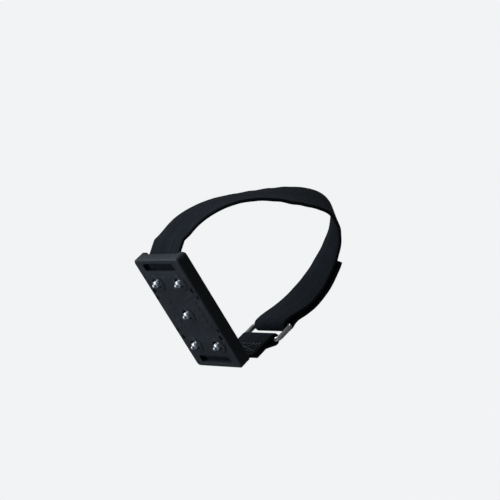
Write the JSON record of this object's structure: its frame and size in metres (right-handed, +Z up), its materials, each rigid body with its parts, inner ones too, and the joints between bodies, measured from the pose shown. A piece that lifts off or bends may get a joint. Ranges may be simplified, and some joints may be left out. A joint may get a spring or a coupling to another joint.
{
  "type": "strap-on instep ice cleat",
  "caption": "Studded rubber pad worn under a boot's instep, held by a webbing strap that closes over the foot with a ring and hook-and-loop tail.",
  "frame": {"origin": "centre of the pad's boot-side face, where the strap lies flush between the rails", "axes": "+X along the boot towards the toe, +Y across the boot towards the strap's closure, +Z up into the boot; the studs point down"},
  "size_m": [0.0526, 0.0917, 0.12],
  "materials": {
    "rubber_pad": "satin moulded rubber, fine grain",
    "webbing": "matt brushed-loop woven webbing",
    "hook_tape": "moulded hook tape",
    "ring_steel": "nickel-plated wire",
    "insert_steel": "zinc-plated",
    "stud_steel": "bright turned steel",
    "carbide": "ground tungsten carbide"
  },
  "bodies": {
    "cleat": {"tread_pad": "rubber_pad", "strap_main": "webbing", "insert_1": "insert_steel", "insert_2": "insert_steel", "insert_3": "insert_steel", "insert_4": "insert_steel", "insert_5": "insert_steel", "stud_body_1": "stud_steel", "stud_body_2": "stud_steel", "stud_body_3": "stud_steel", "stud_body_4": "stud_steel", "stud_body_5": "stud_steel", "carbide_pin_1": "carbide", "carbide_pin_2": "carbide", "carbide_pin_3": "carbide", "carbide_pin_4": "carbide", "carbide_pin_5": "carbide"},
    "ring": {"strap_ring": "ring_steel", "strap_bend": "webbing"},
    "tail": {"strap_tail": "webbing", "hook_patch": "hook_tape"}
  },
  "joints": [
    {"name": "ring_swivel", "type": "hinge", "parent": "cleat", "child": "ring", "pos_m": [0.001, 0.0435, 0.024], "axis": [-1, 0, 0], "range_deg": [0, 30]},
    {"name": "tail_peel", "type": "hinge", "parent": "ring", "child": "tail", "pos_m": [0.001, 0.0462, 0.037], "axis": [-1, 0, 0], "range_deg": [0, 110]}
  ]
}
